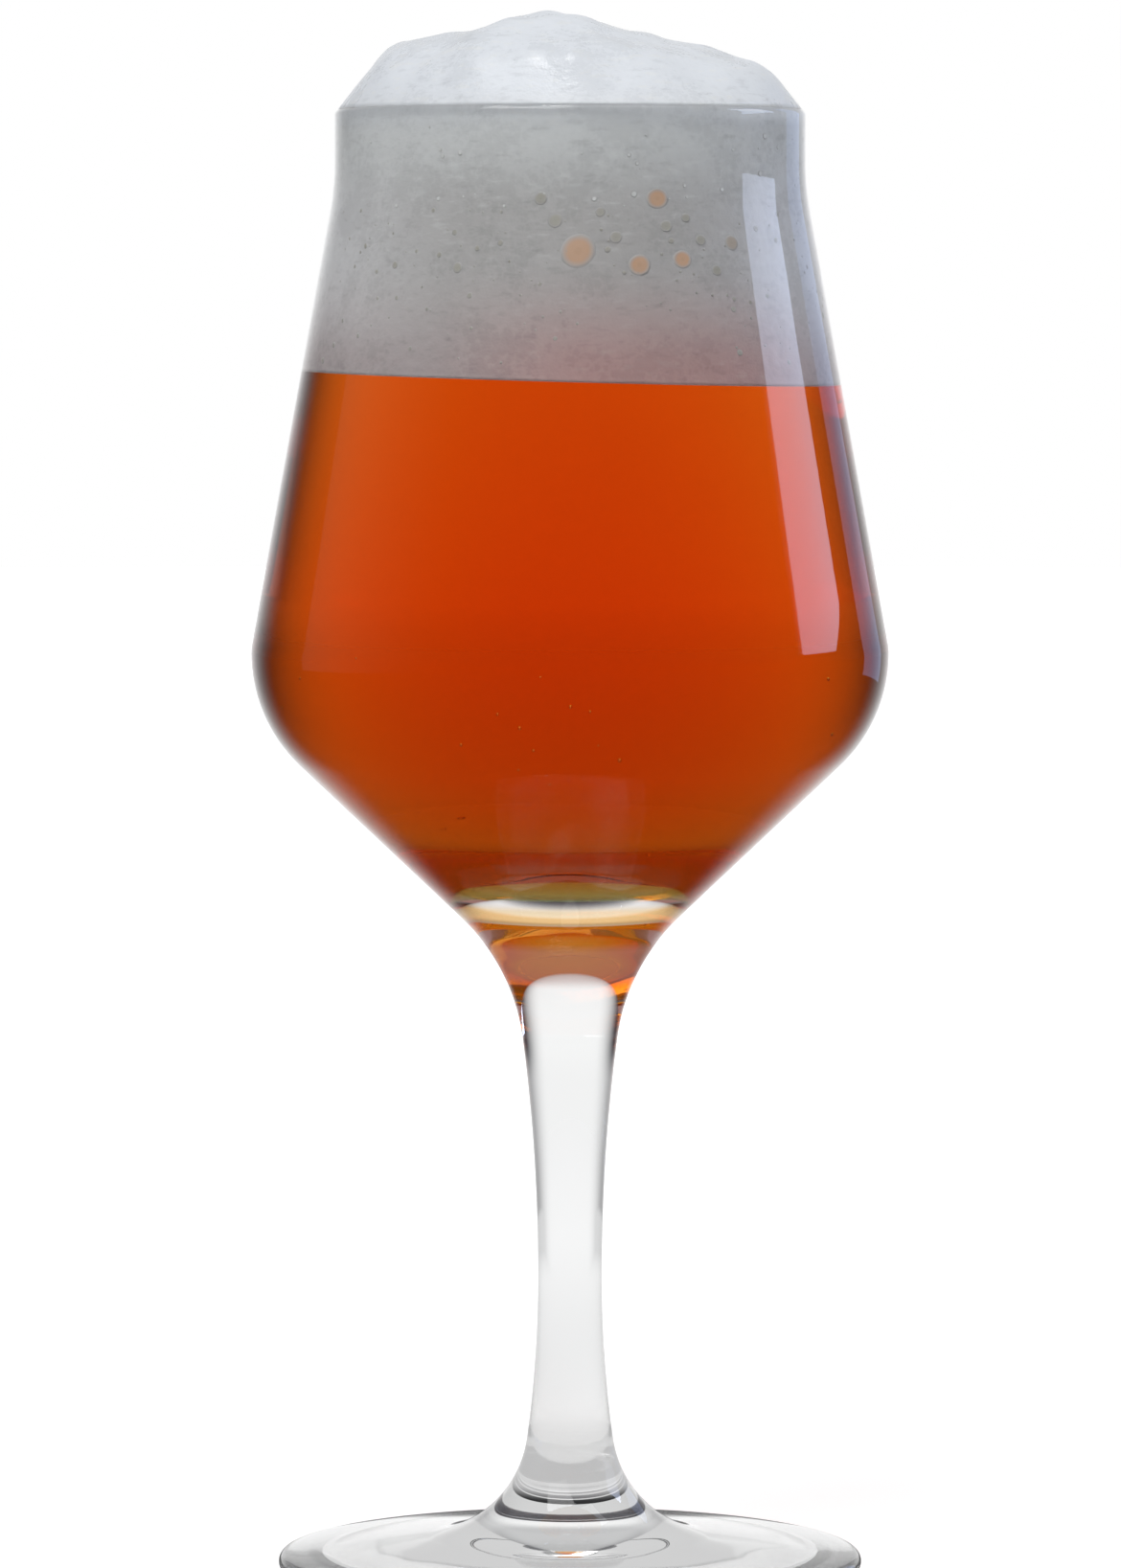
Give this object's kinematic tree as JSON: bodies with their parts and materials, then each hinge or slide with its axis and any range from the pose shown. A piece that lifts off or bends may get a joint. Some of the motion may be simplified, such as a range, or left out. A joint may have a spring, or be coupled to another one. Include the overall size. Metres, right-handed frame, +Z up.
{
  "type": "tulip beer glass",
  "caption": "Stemmed tulip glass with an upright lip, a low round belly and a disc foot, filled with amber beer under a tall foam head that domes above the rim.",
  "frame": {"origin": "centre of the foot's contact ring, on the table", "axes": "+Z up the axis of the glass, -Y towards the picture's viewer, +X to that viewer's right"},
  "size_m": [0.087, 0.087, 0.2135],
  "materials": {
    "clear_glass": "polished",
    "amber_beer": "liquid",
    "beer_foam": "matte froth"
  },
  "bodies": {
    "root": {"bowl": "clear_glass", "stem": "clear_glass", "foot": "clear_glass", "beer": "amber_beer", "foam_head": "beer_foam"}
  },
  "joints": []
}
